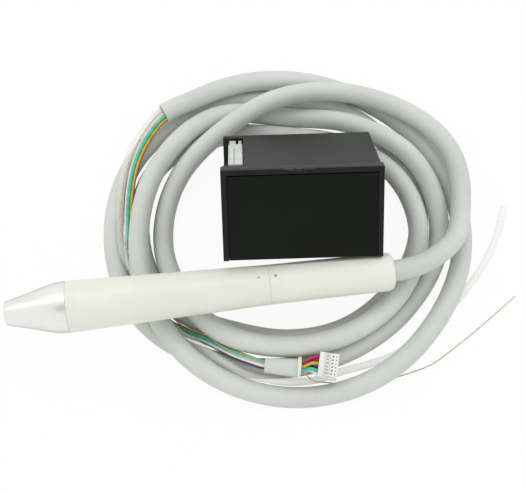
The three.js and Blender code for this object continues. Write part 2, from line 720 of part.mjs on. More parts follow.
function makeWires() {
  wireNames.forEach((name, i) => {
    const wire = sweep(wirePoints(i), wireDiameter / 2, wireSides);
    addNode(part, `wire_${name}`, wire, finish(wireColours[i], 0.45, 0));
  });
  const waterTube = sweep(sampleRoute(waterTubeRoute, routeSteps), waterTubeDiameter / 2, wireSides);
  addNode(part, "water_tube", waterTube, finishes.clear);
  const tanWire = sweep(tanWirePoints(), tanWireDiameter / 2, hoseSides);
  addNode(part, "wire_tan", tanWire, finishes.tan);
}

function makeSleeveAndTie() {
  const start = new THREE.Vector3(sleeveStart.x, sleeveStart.y, sleeveStart.z);
  const end = new THREE.Vector3(sleeveEnd.x, sleeveEnd.y, sleeveEnd.z);
  const along = end.clone().sub(start).normalize();
  const turn = new THREE.Quaternion().setFromUnitVectors(new THREE.Vector3(1, 0, 0), along);
  const profile = [
    [0, sleeveBoreRadius], [0, sleeveRadius], [sleeveLength, sleeveFlareRadius],
    [sleeveLength, sleeveBoreRadius], [0, sleeveBoreRadius],
  ];
  const sleeve = addNode(part, "hose_sleeve", revolve(profile, smallSides), finishes.hose);
  sleeve.quaternion.copy(turn);
  sleeve.position.copy(start);
  const tieInner = sleeveFlareRadius + seatGap / 2;
  const tieOuter = tieInner + tieWall;
  const headLow = [0, -tieHeadLength / 2, -tieOuter - tieHeadHeight];
  const headHigh = [tieWidth, tieHeadLength / 2, -tieInner - seatGap];
  const tieShape = join([ring(0, tieWidth, tieInner, tieOuter, smallSides), block(headLow, headHigh)]);
  const tie = addNode(part, "cable_tie", tieShape, finishes.whitePlastic);
  tie.quaternion.copy(turn);
  tie.position.copy(start).addScaledVector(along, sleeveLength - tieWidth);
}

function makeConnector() {
  const ways = wireNames.length;
  const width = ways * connectorPitch + connectorEndWall;
  const half = connectorHeight / 2;
  const cutters = [];
  for (let i = 0; i < ways; i++) {
    const y = (i - (ways - 1) / 2) * connectorPitch;
    const wireHole = wireDiameter / 2 + seatGap / 2;
    const entryLow = [-cutOverrun, y - wireHole, -wireHole];
    cutters.push(block(entryLow, [connectorEntryDepth, y + wireHole, wireHole]));
    const socket = connectorSocketSize / 2;
    const socketLow = [connectorLength - connectorSocketDepth, y - socket, -socket];
    cutters.push(block(socketLow, [connectorLength + cutOverrun, y + socket, socket]));
    const windowLow = [connectorLength / 3, y - socket, half - connectorSocketSize];
    cutters.push(block(windowLow, [connectorLength / 2, y + socket, half + cutOverrun]));
  }
  const housing = cut(block([0, -width / 2, -half], [connectorLength, width / 2, half]), cutters);
  const connector = addNode(part, "connector_housing", housing, finishes.whitePlastic);
  connector.position.set(connectorStart.x, connectorStart.y, connectorHeightAboveFloor);
  connector.rotation.z = connectorAngle;
}

// Module, in its own directions: X across, Y from the front (negative) to the rear at 0, Z up
const halfWidth = moduleWidth / 2;
const insideHalfWidth = halfWidth - moduleWall;
const insideTop = moduleHeight - moduleWall;
const wellFloor = moduleHeight - headerWellDepth;
const boardBottom = basePlateLift + basePlateThickness + boardPostHeight + seatGap;
const boardTop = boardBottom + boardThickness;

function makeModuleShell() {
  const bezelHalf = halfWidth + bezelStep;
  const bezelHigh = [bezelHalf, bezelDepth - moduleDepth, moduleHeight + bezelStep];
  const outer = join([
    block([-halfWidth, -moduleDepth, 0], [halfWidth, 0, moduleHeight]),
    block([-bezelHalf, -moduleDepth, 0], bezelHigh),
  ]);
  const cavity = block(
    [-insideHalfWidth, -moduleDepth - cutOverrun, -cutOverrun],
    [insideHalfWidth, -moduleWall, insideTop],
  );
  const hollow = cut(outer, [cavity]);
  const wellRear = -headerWellRear;
  const wellFront = wellRear - headerWellLength;
  const wellRight = headerWellWidth - halfWidth;
  const wellWalls = block(
    [-insideHalfWidth, wellFront - moduleWall, wellFloor - moduleWall],
    [wellRight + moduleWall, wellRear + cutOverrun, insideTop],
  );
  const well = block(
    [-halfWidth - bezelStep - cutOverrun, wellFront, wellFloor],
    [wellRight, wellRear, moduleHeight + cutOverrun],
  );
  addNode(controlModule, "module_shell", cut(join([hollow, wellWalls]), [well]), finishes.blackShell);
}

function makeModulePlates() {
  const plateHalf = insideHalfWidth - seatGap;
  const front = -moduleDepth + panelInset;
  const panelRear = front + panelThickness;
  const panel = block([-plateHalf, front, basePlateLift], [plateHalf, panelRear, insideTop - seatGap]);
  addNode(controlModule, "front_panel", panel, finishes.panel);
  const plateTop = basePlateLift + basePlateThickness;
  const plateFront = panelRear + seatGap;
  const plateRear = -moduleWall - seatGap;
  const postTop = plateTop + boardPostHeight;
  const solids = [block([-plateHalf, plateFront, basePlateLift], [plateHalf, plateRear, plateTop])];
  const holes = [];
  const screws = [];
  const screwX = plateHalf - boardPostInset;
  for (const x of [-screwX, screwX]) {
    for (const y of [plateFront + boardPostInset, plateRear - boardPostInset]) {
      const post = rod(plateTop - seatGap, postTop, boardPostRadius, smallSides);
      solids.push(post.rotateY(-Math.PI / 2).translate(x, y, 0));
      const pocketTop = basePlateLift + screwHeadHeight;
      const pocket = rod(basePlateLift - cutOverrun, pocketTop, screwHeadRadius + seatGap, smallSides);
      holes.push(pocket.rotateY(-Math.PI / 2).translate(x, y, 0));
      const hole = rod(0, plateTop + boardPostHeight / 2 + seatGap, screwRadius + seatGap / 2, smallSides);
      holes.push(hole.rotateY(-Math.PI / 2).translate(x, y, 0));
      const headTop = basePlateLift + screwHeadHeight - seatGap;
      const screwTop = plateTop + boardPostHeight / 2;
      const screw = revolve([[basePlateLift, 0], [basePlateLift, screwHeadRadius], [headTop, screwHeadRadius],
        [headTop, screwRadius], [screwTop, screwRadius], [screwTop, 0]], smallSides);
      screws.push(screw.rotateY(-Math.PI / 2).translate(x, y, 0));
    }
  }
  addNode(controlModule, "base_plate", cut(join(solids), holes), finishes.blackShell);
  screws.forEach((screw, i) => addNode(controlModule, `base_screw_${i + 1}`, screw, finishes.steel));
}

function makeModuleElectronics() {
  const boardHalf = insideHalfWidth - boardMargin;
  const boardFront = -moduleDepth + panelInset + panelThickness + boardMargin;
  const boardRear = -moduleWall - boardMargin;
  addNode(controlModule, "circuit_board",
    block([-boardHalf, boardFront, boardBottom], [boardHalf, boardRear, boardTop]), finishes.board);
  const seat = boardTop + seatGap;
  const core = transformerSize;
  const coreLeft = -boardHalf + boardMargin;
  const coreFront = boardFront + boardMargin;
  const coreRight = coreLeft + core.x;
  const coreRear = coreFront + core.y;
  const coreTop = seat + core.z;
  const windowLow = [coreLeft + transformerCoreWall, coreFront - cutOverrun, seat + transformerCoreWall];
  const windowHigh = [coreRight - transformerCoreWall, coreRear + cutOverrun, coreTop - transformerCoreWall];
  const coreBlock = block([coreLeft, coreFront, seat], [coreRight, coreRear, coreTop]);
  const coreSolid = cut(coreBlock, [block(windowLow, windowHigh)]);
  addNode(controlModule, "transformer_core", coreSolid, finishes.ferrite);
  const winding = block(
    [windowLow[0] + seatGap, coreFront + seatGap, windowLow[2] + seatGap],
    [windowHigh[0] - seatGap, coreRear - seatGap, windowHigh[2] - seatGap],
  );
  addNode(controlModule, "transformer_winding", winding, finishes.copper);
  const capacitorX = boardHalf - boardMargin - capacitorRadius;
  for (const [i, share] of capacitorShares.entries()) {
    const y = boardFront + (boardRear - boardFront) * share;
    const can = rod(seat, seat + capacitorHeight, capacitorRadius, smallSides);
    can.rotateY(-Math.PI / 2).translate(capacitorX, y, 0);
    addNode(controlModule, `capacitor_${i + 1}`, can, finishes.ferrite);
  }
  const sink = heatSinkSize;
  const sinkLeft = coreRight + boardMargin;
  const sinkWidth = capacitorX - capacitorRadius - boardMargin - sinkLeft;
  const sinkRear = boardRear - boardMargin;
  const finCutters = [];
  const finPitch = sinkWidth / (2 * heatSinkFins - 1);
  for (let i = 0; i < heatSinkFins - 1; i++) {
    const left = sinkLeft + (2 * i + 1) * finPitch;
    finCutters.push(block([left, sinkRear - sink.y + heatSinkBase, seat - cutOverrun],
      [left + finPitch, sinkRear + cutOverrun, seat + sink.z + cutOverrun]));
  }
  const sinkFront = sinkRear - sink.y;
  const sinkBlock = block([sinkLeft, sinkFront, seat], [sinkLeft + sinkWidth, sinkRear, seat + sink.z]);
  addNode(controlModule, "heat_sink", cut(sinkBlock, finCutters), finishes.nose);
  const transistorWidth = sinkWidth * transistorWidthShare;
  const transistorLeft = sinkLeft + (sinkWidth - transistorWidth) / 2;
  const transistorRear = sinkFront - seatGap;
  const transistor = block([transistorLeft, transistorRear - transistorSize.y, seat],
    [transistorLeft + transistorWidth, transistorRear, seat + transistorSize.z]);
  addNode(controlModule, "power_transistor", transistor, finishes.ferrite);
}

function makeModuleHeader() {
  const right = headerWellWidth - halfWidth - seatGap;
  const left = right - headerWidth;
  const rear = -headerWellRear - (headerWellLength - headerLength) / 2;
  const front = rear - headerLength;
  const tabFront = rear - headerTabLength;
  const bottom = wellFloor + seatGap;
  const top = bottom + headerHeight;
  const body = block([left, front, bottom], [right, tabFront, top]);
  const tabLow = [left + headerTabInset, tabFront - seatGap, bottom];
  const tab = block(tabLow, [right - headerTabInset, rear, top - headerTabDrop]);
  const notchLeft = left + headerWidth * headerNotch.share - headerNotch.width / 2;
  const notchLow = [notchLeft, rear - headerNotch.length, top - headerNotch.depth];
  const notch = block(notchLow, [notchLeft + headerNotch.width, rear + cutOverrun, top + cutOverrun]);
  const grooveLeft = left + headerWidth * headerGroove.share - headerGroove.width / 2;
  const grooveLow = [grooveLeft, front - cutOverrun, top - headerGroove.depth];
  const grooveHigh = [grooveLeft + headerGroove.width, tabFront - headerGroove.start, top + cutOverrun];
  const header = cut(join([body, tab]), [notch, block(grooveLow, grooveHigh)]);
  addNode(controlModule, "power_header", header, finishes.whitePlastic);
}

// The module leans back with its base on the tail, which it meets at a share of its depth
function placeModule() {
  const reach = halfWidth + bezelStep;
  const rightX = modulePivotX + reach * Math.cos(moduleYaw);
  const station = (rightX - handpieceNose.x) / Math.cos(handpieceAngle);
  const axisY = handpieceNose.y + station * Math.sin(handpieceAngle);
  const rise = handpieceNose.z;
  const clear = seamRadius + seatGap;
  const slope = Math.hypot(moduleDepth * moduleRestShare, clear);
  const across = Math.sqrt(slope * slope - rise * rise);
  const lean = Math.atan2(rise, across) + Math.asin(clear / slope);
  controlModule.rotation.order = "ZXY";
  controlModule.rotation.set(-lean, 0, moduleYaw);
  controlModule.position.set(modulePivotX, axisY + across - reach * Math.sin(moduleYaw), 0);
  console.log("the module leans back by, degrees:", THREE.MathUtils.radToDeg(lean).toFixed(2));
}

makeNoseCone();
makeLampAndGuide();
makeHandpieceShell();
makeTransducer();
makePlugJoint();
makeTail();
makeHose();
makeWires();
makeSleeveAndTie();
makeConnector();
makeModuleShell();
makeModulePlates();
makeModuleElectronics();
makeModuleHeader();

handpiece.position.set(handpieceNose.x, handpieceNose.y, handpieceNose.z);
handpiece.rotation.z = handpieceAngle;
placeModule();

// The origin stands under the middle of the handpiece and module together, on the surface
const rigidBox = new THREE.Box3();
part.updateMatrixWorld(true);
for (const group of [handpiece, controlModule]) rigidBox.expandByObject(group, true);
const centre = rigidBox.getCenter(new THREE.Vector3());
part.position.set(-centre.x, -centre.y, -rigidBox.min.z);
console.log("the part is moved by, mm:", part.position.toArray().map((v) => v.toFixed(3)).join(" "));

export default part;
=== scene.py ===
import bpy
import bmesh
import json
from math import cos, pi, radians, sin
from mathutils import Matrix, Vector


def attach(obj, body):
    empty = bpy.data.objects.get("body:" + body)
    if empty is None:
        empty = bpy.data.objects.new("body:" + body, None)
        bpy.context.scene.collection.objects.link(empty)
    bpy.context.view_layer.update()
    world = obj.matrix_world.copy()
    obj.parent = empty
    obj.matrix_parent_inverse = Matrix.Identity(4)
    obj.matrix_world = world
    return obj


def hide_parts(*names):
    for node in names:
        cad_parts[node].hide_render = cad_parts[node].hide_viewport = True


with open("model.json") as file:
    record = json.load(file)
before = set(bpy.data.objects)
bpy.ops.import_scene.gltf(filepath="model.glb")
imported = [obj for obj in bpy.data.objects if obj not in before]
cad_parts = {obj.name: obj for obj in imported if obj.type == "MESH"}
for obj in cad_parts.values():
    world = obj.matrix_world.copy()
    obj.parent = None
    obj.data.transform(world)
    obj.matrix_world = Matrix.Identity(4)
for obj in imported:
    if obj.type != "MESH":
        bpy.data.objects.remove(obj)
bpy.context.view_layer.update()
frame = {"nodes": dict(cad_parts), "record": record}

mm = 0.001
layoutShift = Vector((23.0, 2.16, 0.0))  # from the layout on the surface to the frame, mm


def toWorld(point):
    return (Vector(point) + layoutShift) * mm


# camera first: the photograph's angle

camera = {"distance": 443.548, "elevation": 68, "lens": 75.285, "sensor": 36, "clipStart": 0.01}


def towardsCamera():
    tilt = radians(camera["elevation"])
    return Vector((0, -cos(tilt), sin(tilt)))


def placeCamera():
    data = bpy.data.cameras.new("photoCamera")
    data.lens = camera["lens"]
    data.sensor_width = camera["sensor"]
    data.sensor_fit = "HORIZONTAL"
    data.clip_start = camera["clipStart"]
    holder = bpy.data.objects.new("photoCamera", data)
    holder.location = layoutShift * mm + towardsCamera() * camera["distance"] * mm
    holder.rotation_euler = (pi / 2 - radians(camera["elevation"]), 0, 0)
    bpy.context.scene.collection.objects.link(holder)
    bpy.context.scene.camera = holder


placeCamera()
print("camera placed")


# shader helpers: a wrapped socket takes plain sums

class Signal:
    def __init__(self, nodes, socket):
        self.nodes = nodes
        self.socket = socket

    def calc(self, operation, first, second, clamp=False):
        return self.nodes.calc(operation, first, second, clamp)

    def __add__(self, other):
        return self.calc("ADD", self, other)

    __radd__ = __add__

    def __sub__(self, other):
        return self.calc("SUBTRACT", self, other)

    def __rsub__(self, other):
        return self.calc("SUBTRACT", other, self)

    def __mul__(self, other):
        return self.calc("MULTIPLY", self, other)

    __rmul__ = __mul__

    def __truediv__(self, other):
        return self.calc("DIVIDE", self, other)

    def __rtruediv__(self, other):
        return self.calc("DIVIDE", other, self)

    def __pow__(self, other):
        return self.calc("POWER", self, other)

    def __rpow__(self, other):
        return self.calc("POWER", other, self)

    def __abs__(self):
        return self.calc("ABSOLUTE", self, 0.0)

    def clipped(self):
        return self.calc("ADD", self, 0.0, clamp=True)


class NodeTree:
    def __init__(self, tree):
        self.tree = tree

    def node(self, kind, settings=None, values=None, output=0):
        made = self.tree.nodes.new(kind)
        for key, value in (settings or {}).items():
            setattr(made, key, value)
        for key, value in (values or {}).items():
            if isinstance(value, Signal):
                self.tree.links.new(value.socket, made.inputs[key])
            else:
                made.inputs[key].default_value = value
        return Signal(self, made.outputs[output])

    def calc(self, operation, first, second, clamp=False):
        return self.node("ShaderNodeMath", {"operation": operation, "use_clamp": clamp},
                         {0: first, 1: second})

    def axis(self, place, letter):
        return self.node("ShaderNodeSeparateXYZ", values={"Vector": place}, output=letter)

    def ray(self, kind):
        return self.node("ShaderNodeLightPath", output=kind)


def paint(red, green, blue):  # a colour as seen on a screen, 0 to 255, made linear
    def straight(value):
        share = value / 255
        return share / 12.92 if share <= 0.04045 else ((share + 0.055) / 1.055) ** 2.4
    return (straight(red), straight(green), straight(blue), 1.0)


class Finish(NodeTree):
    def __init__(self, name, constants):
        self.material = bpy.data.materials.new(name)
        self.material.use_nodes = True
        super().__init__(self.material.node_tree)
        self.shader = self.tree.nodes["Principled BSDF"]
        for socket, value in constants.items():
            self.shader.inputs[socket].default_value = value

    def feed(self, socket, signal):
        self.tree.links.new(signal.socket, self.shader.inputs[socket])

    # usual nodes of these finishes
    def place(self):
        return self.node("ShaderNodeTexCoord", output="Object")

    def placeAround(self, spot, turn, scale=(1, 1, 1)):  # from a spot, turned about the upright
        return self.node("ShaderNodeMapping", {"vector_type": "TEXTURE"},
                         {"Vector": self.place(), "Location": spot, "Rotation": (0, 0, turn),
                          "Scale": scale})

    def noise(self, place, scale, detail=3.0, roughness=0.5):
        return self.node("ShaderNodeTexNoise", values={
            "Vector": place, "Scale": scale, "Detail": detail, "Roughness": roughness})

    def mix(self, factor, first, second):
        return self.node("ShaderNodeMix", {"data_type": "RGBA"},
                         {0: factor, 6: first, 7: second}, output=2)

    def step(self, value, low, high):
        return self.node("ShaderNodeMapRange", {"interpolation_type": "SMOOTHSTEP"},
                         {"Value": value, "From Min": low, "From Max": high})

    def bump(self, height, distance, strength):
        return self.node("ShaderNodeBump", values={
            "Height": height, "Distance": distance, "Strength": strength})

    def addColour(self, mask, colour):  # over the base colour so far
        base = Signal(self, self.shader.inputs["Base Color"].links[0].from_socket)
        self.feed("Base Color", self.mix(mask, base, paint(*colour)))


# what a look holds unless it says otherwise
usualLook = {
    "metal": 0.0, "ior": 1.5, "specular": 0.5, "coatRough": 0.15, "cloudScale": 60,
    "cloudDetail": 4.0, "cloudBreakup": 0.55, "cloudShare": 0.7, "grainScale": 2600,
    "grainDetail": 2.0, "grainBreakup": 0.6, "grainDepth": 0.00002, "grainStrength": 0.5,
    "toneRange": (0.32, 0.68), "roughSpread": 0.08,
}


# a moulded or cast finish: cloudy tone, fine grain and a roughness that follows both
def mouldedFinish(name, look):
    look = {**usualLook, **look}
    finish = Finish(name, {"Metallic": look["metal"], "IOR": look["ior"],
                           "Specular IOR Level": look["specular"]})
    place = finish.place()
    cloud = finish.noise(place, look["cloudScale"], look["cloudDetail"], look["cloudBreakup"])
    grain = finish.noise(place, look["grainScale"], look["grainDetail"], look["grainBreakup"])
    mottle = cloud * look["cloudShare"] + grain * (1 - look["cloudShare"])
    tone = finish.step(mottle, *look["toneRange"])
    finish.feed("Base Color", finish.mix(tone, paint(*look["low"]), paint(*look["high"])))
    spread = look["roughSpread"]
    finish.feed("Roughness", (cloud * spread + grain * spread + (look["rough"] - spread)).clipped())
    finish.feed("Normal", finish.bump(grain, look["grainDepth"], look["grainStrength"]))
    if "coat" in look:
        finish.shader.inputs["Coat Weight"].default_value = look["coat"]
        finish.shader.inputs["Coat Roughness"].default_value = look["coatRough"]
    return finish


# making helpers

meshing = {"merge": 1e-7, "degenerate": 1e-8, "cadMerge": 1e-6, "flatAngle": 1, "sharpAngle": 40,
           "turnedSteps": 160}


def finished(name, mesh, finish, smoothAngle=34):
    for face in mesh.faces:
        face.smooth = True
    for edge in mesh.edges:
        if len(edge.link_faces) != 2 or edge.calc_face_angle(0) > radians(smoothAngle):
            edge.smooth = False
    data = bpy.data.meshes.new(name)
    mesh.to_mesh(data)
    mesh.free()
    data.materials.append(finish.material)
    piece = bpy.data.objects.new(name, data)
    bpy.context.scene.collection.objects.link(piece)
    return piece


def cleaned(mesh):
    bmesh.ops.remove_doubles(mesh, verts=mesh.verts, dist=meshing["merge"])
    bmesh.ops.dissolve_degenerate(mesh, dist=meshing["degenerate"], edges=mesh.edges)
    bmesh.ops.recalc_face_normals(mesh, faces=mesh.faces)


# corners of a closed outline, each eased by an arc no longer than its two sides allow
def easedOutline(corners, radius, steps=3, sideShare=0.4):
    eased = []
    for i, corner in enumerate(corners):
        here = Vector(corner)
        before = Vector(corners[i - 1]) - here
        after = Vector(corners[(i + 1) % len(corners)]) - here
        reach = min(radius, before.length * sideShare, after.length * sideShare)
        start = here + before.normalized() * reach
        end = here + after.normalized() * reach
        for k in range(steps + 1):
            t = k / steps
            point = start * (1 - t) ** 2 + here * 2 * t * (1 - t) + end * t ** 2
            eased.append((point.x, point.y))
    return eased


# a turned piece: a closed outline of (station, radius) in mm, spun about the axis
def turned(name, outline, spot, finish):
    mesh = bmesh.new()
    points = [mesh.verts.new((station * mm, 0, radius * mm)) for station, radius in outline]
    lines = [mesh.edges.new(pair) for pair in zip(points, points[1:] + points[:1])]
    bmesh.ops.spin(mesh, geom=points + lines, cent=(0, 0, 0), axis=(1, 0, 0), angle=2 * pi,
                   steps=meshing["turnedSteps"], use_merge=True, use_duplicate=False)
    cleaned(mesh)
    bmesh.ops.transform(mesh, matrix=spot, verts=mesh.verts)
    return finished(name, mesh, finish)


# a CAD node's own form with its edges eased
def softened(name, node, finish, width, segments=3):
    mesh = bmesh.new()
    mesh.from_mesh(frame["nodes"][node].data)
    bmesh.ops.remove_doubles(mesh, verts=mesh.verts, dist=meshing["cadMerge"])
    bmesh.ops.dissolve_limit(mesh, angle_limit=radians(meshing["flatAngle"]), verts=mesh.verts,
                             edges=mesh.edges)
    bmesh.ops.recalc_face_normals(mesh, faces=mesh.faces)
    sharpAngle = radians(meshing["sharpAngle"])
    sharp = [edge for edge in mesh.edges
             if len(edge.link_faces) == 2 and edge.calc_face_angle(0) > sharpAngle]
    bmesh.ops.bevel(mesh, geom=sharp, offset=width * mm, offset_type="OFFSET", segments=segments,
                    profile=0.5, affect="EDGES", clamp_overlap=True, material=-1)
    bmesh.ops.triangulate(mesh, faces=[face for face in mesh.faces if len(face.verts) > 4])
    piece = finished(name, mesh, finish, smoothAngle=28)
    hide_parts(node)
    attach(piece, "set")
    return piece


# routes, as the part has them, in mm

def cubicMix(before, start, end, after, t):
    startSlope = (end - before) / 2
    endSlope = (after - start) / 2
    square = t * t
    cube = square * t
    return ((2 * cube - 3 * square + 1) * start + (cube - 2 * square + t) * startSlope
            + (3 * square - 2 * cube) * end + (cube - square) * endSlope)


def valueAt(values, place):
    last = len(values) - 1
    i = min(int(place), last - 1)
    before = values[max(0, i - 1)]
    after = values[min(last, i + 2)]
    return cubicMix(before, values[i], values[i + 1], after, place - i)


def smoothRoute(route, perSpan):
    points = [Vector(point) for point in route]
    return [valueAt(points, i / perSpan) for i in range((len(points) - 1) * perSpan + 1)]


def evenRoute(points, pitch, passes):  # points a pitch apart, then eased by their neighbours
    shortest = 1e-9
    side, middle = 0.25, 0.5
    lengths = [0.0]
    for first, second in zip(points, points[1:]):
        lengths.append(lengths[-1] + (second - first).length)
    count = max(2, round(lengths[-1] / pitch))
    even = []
    k = 0
    for i in range(count + 1):
        target = lengths[-1] * i / count
        while k < len(points) - 2 and lengths[k + 1] < target:
            k += 1
        span = max(lengths[k + 1] - lengths[k], shortest)
        even.append(points[k].lerp(points[k + 1], (target - lengths[k]) / span))
    for _ in range(passes):
        inside = [even[i - 1] * side + even[i] * middle + even[i + 1] * side
                  for i in range(1, len(even) - 1)]
        even = [even[0]] + inside + [even[-1]]
    return even


def routeLength(points):
    return sum((second - first).length for first, second in zip(points, points[1:]))


def tubeCurve(name, points, radius, finish, rings):
    data = bpy.data.curves.new(name, "CURVE")
    data.dimensions = "3D"
    data.bevel_depth = radius * mm
    data.bevel_resolution = rings
    data.use_fill_caps = True
    spline = data.splines.new("POLY")
    spline.points.add(len(points) - 1)
    for spot, point in zip(spline.points, points):
        spot.co = (*toWorld(point), 1.0)
    spline.use_smooth = True
    data.materials.append(finish.material)
    piece = bpy.data.objects.new(name, data)
    bpy.context.scene.collection.objects.link(piece)
    return piece


# the handpiece's place

handpiece = {
    "nose": (-95, -36.9, 25.7), "angle": 6.65, "noseLength": 23.2, "bodyLength": 74.8,
    "tailLength": 46.9, "mouthRadius": 4.4, "waistRadius": 9.7, "seamRadius": 7.5,
    "tailEndRadius": 7.25, "tailWall": 6.9,
}
handpieceTurn = radians(handpiece["angle"])
noseSpot = toWorld(handpiece["nose"])
handpieceSpot = Matrix.Translation(noseSpot) @ Matrix.Rotation(handpieceTurn, 4, "Z")
seamStation = handpiece["noseLength"] + handpiece["bodyLength"]
tailEnd = seamStation + handpiece["tailLength"]


def onHandpiece(station):
    x, y, z = handpiece["nose"]
    return Vector((x + station * cos(handpieceTurn), y + station * sin(handpieceTurn), z))


# hose

hose = {
    "diameter": 8, "rest": 3.2, "layerRise": 8.6, "wall": 0.45, "centre": (10, 2), "reach": 72.8,
    "insideTail": 13.6, "leadOut": 2, "perTurn": 12, "perStation": 8, "perSpan": 4, "pitch": 2.4,
    "passes": 5, "rings": 9, "heading": (0.39, 0.86, -0.32),
    "radiusShares": [
        0.919, 1.032, 0.949, 0.818, 0.7, 0.7, 0.687, 0.673, 0.676, 0.652, 0.659, 0.687,
        0.707, 0.687, 0.657, 0.637, 0.738, 0.856, 0.816, 0.742, 0.609, 0.578, 0.595, 0.635,
        0.718, 0.774, 0.849, 0.872, 0.944, 0.988, 0.962, 0.9135, 0.801, 0.731, 0.716, 0.755,
        0.831, 0.827, 0.753, 0.753, 0.822, 0.819, 0.809, 0.841, 0.887, 0.897, 0.918, 0.924,
        0.957, 0.971, 0.975, 0.964, 0.962],
    "layers": [
        1.3, 1.05, 1.02, 1.28, 1.3, 0.55, 0.25, 0.92, 1.08, 1, 1, 1.02,
        1.03, 0.86, 0.2, 0, 0, 0, 0, 0, 0, 0, 0, 0,
        0, 0, 0, 0, 0, 0, 0, 0, 0, 0, 0, 0,
        0.3, 1, 1, 0.1, 0.86, 1.03, 1.03, 1.03, 0.85, 0.15, 0.35, 0.55,
        0.2, 0, 0, 0.62, 1.02],
    "leadRoute": [(55.6, -18.7, 25.3), (60, -16.8, 24.3), (64.6, -13.6, 22.3), (68.8, -9.8, 19.7)],
    "endRoute": [(-36.8, 56.8, 12.6), (-40.8, 54.3, 12.2)],
}
hoseLook = {"low": (203, 207, 201), "high": (215, 218, 212), "rough": 0.52, "cloudScale": 45,
            "grainScale": 1800, "grainDepth": 0.00003, "grainStrength": 0.25}


def coilRoute():
    points = []
    x, y = hose["centre"]
    perStation = hose["perStation"]
    for i in range((len(hose["radiusShares"]) - 1) * perStation + 1):
        place = i / perStation
        angle = place / hose["perTurn"] * 2 * pi
        radius = valueAt(hose["radiusShares"], place) * hose["reach"]
        lift = max(0.0, valueAt(hose["layers"], place)) * hose["layerRise"]
        upwards = hose["rest"] + lift
        points.append(Vector((x + radius * cos(angle), y + radius * sin(angle), upwards)))
    return points


def hoseRoute():
    coil = coilRoute()
    start = coil[0] - Vector(hose["heading"]).normalized() * hose["diameter"]
    outward = (coil[-1] - coil[-2]).normalized()
    pastTailEnd = (-hose["insideTail"], -handpiece["tailWall"], hose["leadOut"])
    lead = [onHandpiece(tailEnd + past) for past in pastTailEnd]
    lead += [Vector(point) for point in hose["leadRoute"]] + [start]
    end = [coil[-1] + outward * hose["diameter"]] + [Vector(point) for point in hose["endRoute"]]
    whole = smoothRoute(lead, hose["perSpan"]) + coil + smoothRoute(end, hose["perSpan"])
    return evenRoute(whole, hose["pitch"], hose["passes"])


def makeHose():
    finish = mouldedFinish("hoseSilicone", hoseLook)
    route = hoseRoute()
    guide = tubeCurve("hoseGuide", route, hose["diameter"] / 2, finish, hose["rings"])
    guide.data.use_fill_caps = False
    graph = bpy.context.evaluated_depsgraph_get()
    data = bpy.data.meshes.new_from_object(guide.evaluated_get(graph))
    bpy.data.objects.remove(guide)
    mesh = bmesh.new()
    mesh.from_mesh(data)
    for vertex in mesh.verts:  # its own weight flattens it a little where it lies on the surface
        vertex.co.z = max(vertex.co.z, 0.0)
    cleaned(mesh)
    piece = finished("hose", mesh, finish, smoothAngle=60)
    wall = piece.modifiers.new("wall", "SOLIDIFY")
    wall.thickness = hose["wall"] * mm
    wall.offset = -1
    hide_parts("hose_lead", "hose_coil", "hose_end")
    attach(piece, "set")
    worldRoute = [point + layoutShift for point in route]
    length = routeLength(route) * mm
    print("hose length, m:", round(length, 4))
    toWorld(onHandpiece(tailEnd))
    hose["diameter"] * mm
    [point * mm for point in worldRoute]
    return route[-1], finish


hoseMouth, hoseFinish = makeHose()
print("hose made")


# wires and tubes out of the hose's cut end

wires = {
    "diameter": 1.2, "rings": 4, "perStation": 6, "ring": 1.23, "fanStart": 22, "pitch": 1.36,
    "entry": 2.3, "angle": -8, "names": ["teal", "yellow", "crimson", "red", "navy", "grey"],
    "ways": [4, 2, 0, 1, 3, 5],
    "turns": [
        72, 72, 70, 66, 60, 56, 54, 50, 45, 48, 57, 70, 80, 76, 70, 66, 66, 72, 84, 90, 60, 30, 0,
        0, 0, 0],
    "low": [
        (55, 176, 156), (196, 170, 34), (182, 24, 74), (150, 22, 52), (30, 40, 104),
        (222, 223, 218)],
    "high": [
        (84, 206, 186), (218, 192, 52), (206, 36, 94), (176, 34, 66), (44, 56, 132),
        (238, 239, 235)],
    "route": [
        (-37, 54.7, 12.3), (-39.95, 52.8, 12.2), (-43.5, 49.5, 11.4), (-47, 44.5, 10.2),
        (-50, 38.5, 9.2), (-52.3, 31, 8.6), (-53.5, 22, 8.2), (-53.8, 12, 7.8), (-53.2, 2, 7.2),
        (-52.65, -5.7, 5.2), (-50.68, -14.2, 2.55), (-46.45, -21.9, 1.9), (-42.2, -28.2, 1.9),
        (-36.4, -33.4, 2.2), (-29.3, -37.3, 3.2), (-22.3, -40.6, 5.6), (-16.8, -44, 8),
        (-11.3, -47.5, 10.1), (-5.4, -50.6, 12.1), (0.2, -52.7, 12.7), (6.4, -53.4, 12.6),
        (12.7, -53.9, 12.5), (15.2, -53.7, 12.5), (18.1, -52.9, 13.1), (20.7, -53.1, 13.4)],
}
wireLook = {
    "rough": 0.42, "cloudScale": 300, "grainScale": 3000, "grainDepth": 0.00001, "coat": 0.2,
    "coatRough": 0.3,
}
